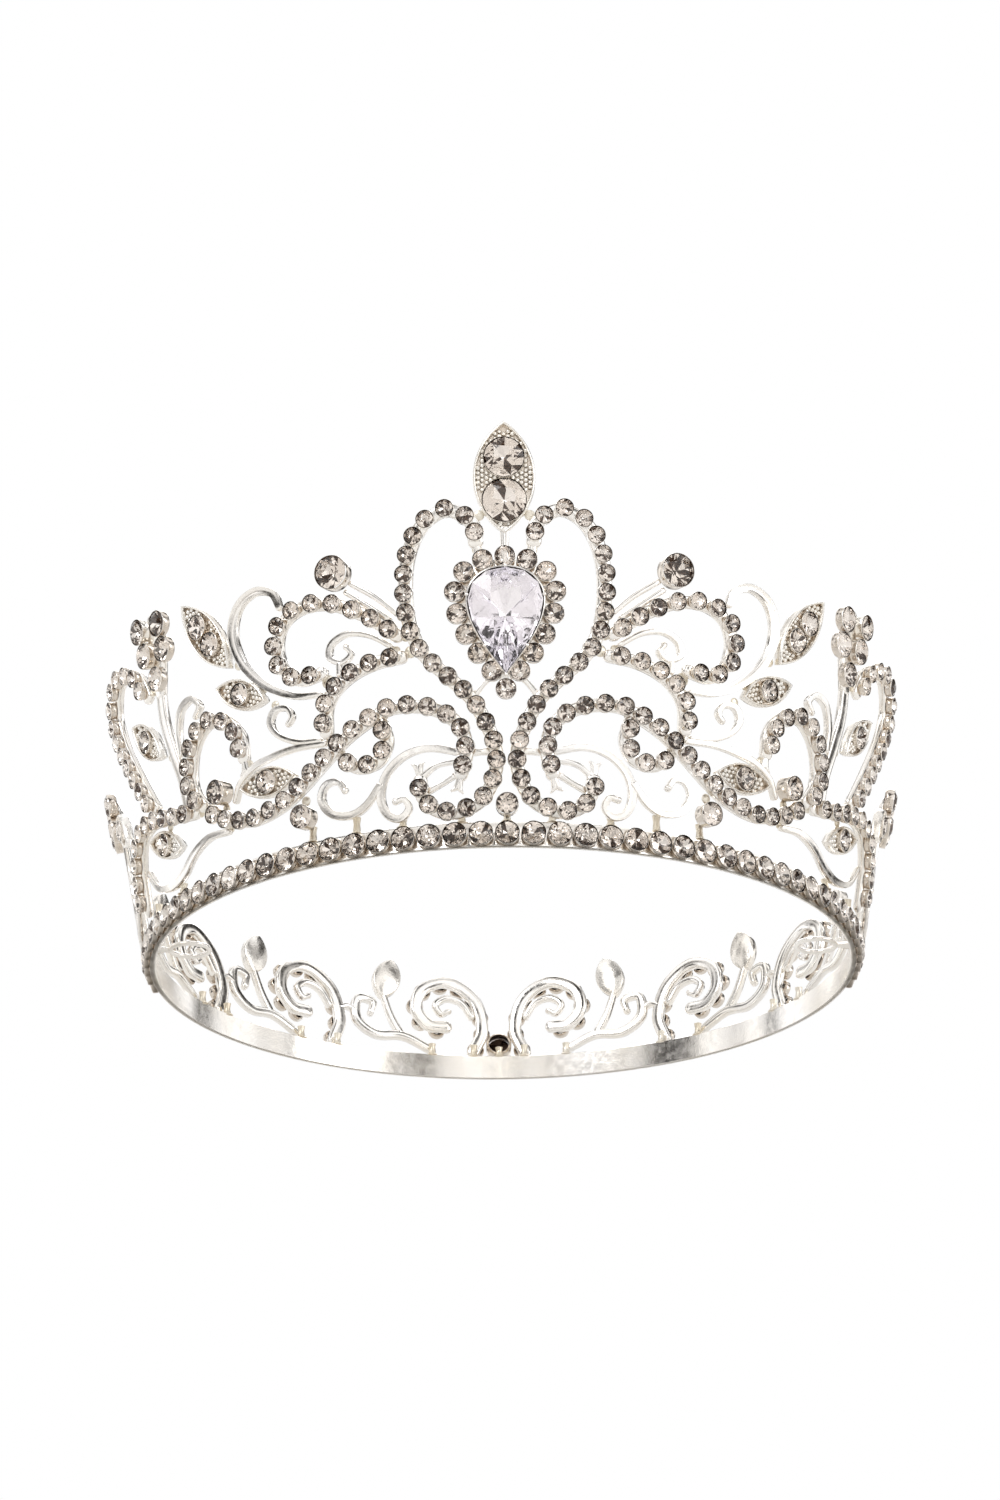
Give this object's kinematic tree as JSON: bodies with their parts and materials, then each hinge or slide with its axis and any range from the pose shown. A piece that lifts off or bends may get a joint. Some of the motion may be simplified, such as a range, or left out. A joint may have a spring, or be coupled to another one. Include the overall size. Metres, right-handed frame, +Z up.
{
  "type": "bridal tiara",
  "caption": "Full-round crown tiara: plain metal band with flared openwork scrolls, set round stones, a haloed pear drop and a marquise finial.",
  "frame": {"origin": "centre of the band's ring, on the plane of the band's lower rim", "axes": "+Z up along the head's axis, front of the tiara towards -Y, +X to the right seen from the front"},
  "size_m": [0.16, 0.1634, 0.0806],
  "materials": {
    "silver_plate": "bright silver plate over cast alloy, slightly warm",
    "solder": "plated solder, a little duller and warmer than the castings",
    "round_glass": "clear faceted glass chatons with a silver foil back",
    "pear_glass": "clear faceted pear glass with a silver foil back"
  },
  "bodies": {
    "root": {"base_band": "silver_plate", "band_cups": "silver_plate", "band_stones": "round_glass", "heart_scroll_left": "silver_plate", "heart_scroll_right": "silver_plate", "upper_loop_left": "silver_plate", "upper_loop_right": "silver_plate", "crest_scroll_left": "silver_plate", "crest_scroll_right": "silver_plate", "swoop_scroll_left": "silver_plate", "swoop_scroll_right": "silver_plate", "eye_curl_left": "silver_plate", "eye_curl_right": "silver_plate", "leaf_loop_left": "silver_plate", "leaf_loop_right": "silver_plate", "side_rail_left": "silver_plate", "side_rail_right": "silver_plate", "side_arch_left": "silver_plate", "side_arch_right": "silver_plate", "hook_scroll_left": "silver_plate", "hook_scroll_right": "silver_plate", "lower_scroll_left": "silver_plate", "lower_scroll_right": "silver_plate", "vine_curls_left": "silver_plate", "vine_curls_right": "silver_plate", "pillar_left": "silver_plate", "pillar_right": "silver_plate", "bowl_scroll_left": "silver_plate", "bowl_scroll_right": "silver_plate", "bobble_stem_left": "silver_plate", "bobble_stem_right": "silver_plate", "double_leaf_left": "silver_plate", "double_leaf_right": "silver_plate", "small_leaves_left": "silver_plate", "small_leaves_right": "silver_plate", "low_pillar_left": "silver_plate", "low_pillar_right": "silver_plate", "back_scrolls_left": "silver_plate", "back_scrolls_right": "silver_plate", "back_leaves_left": "silver_plate", "back_leaves_right": "silver_plate", "strand_cups_left": "silver_plate", "strand_cups_right": "silver_plate", "strand_stones_left": "round_glass", "strand_stones_right": "round_glass", "stud_cups_left": "silver_plate", "stud_cups_right": "silver_plate", "large_stones_left": "round_glass", "large_stones_right": "round_glass", "centre_studs": "silver_plate", "centre_stones": "round_glass", "solder_posts": "solder", "finial_leaf": "silver_plate", "finial_stones": "round_glass", "pear_setting": "silver_plate", "pear_stone": "pear_glass", "halo_cups": "silver_plate", "halo_stones": "round_glass", "pin_loop_left": "silver_plate", "pin_loop_right": "silver_plate"}
  },
  "joints": []
}
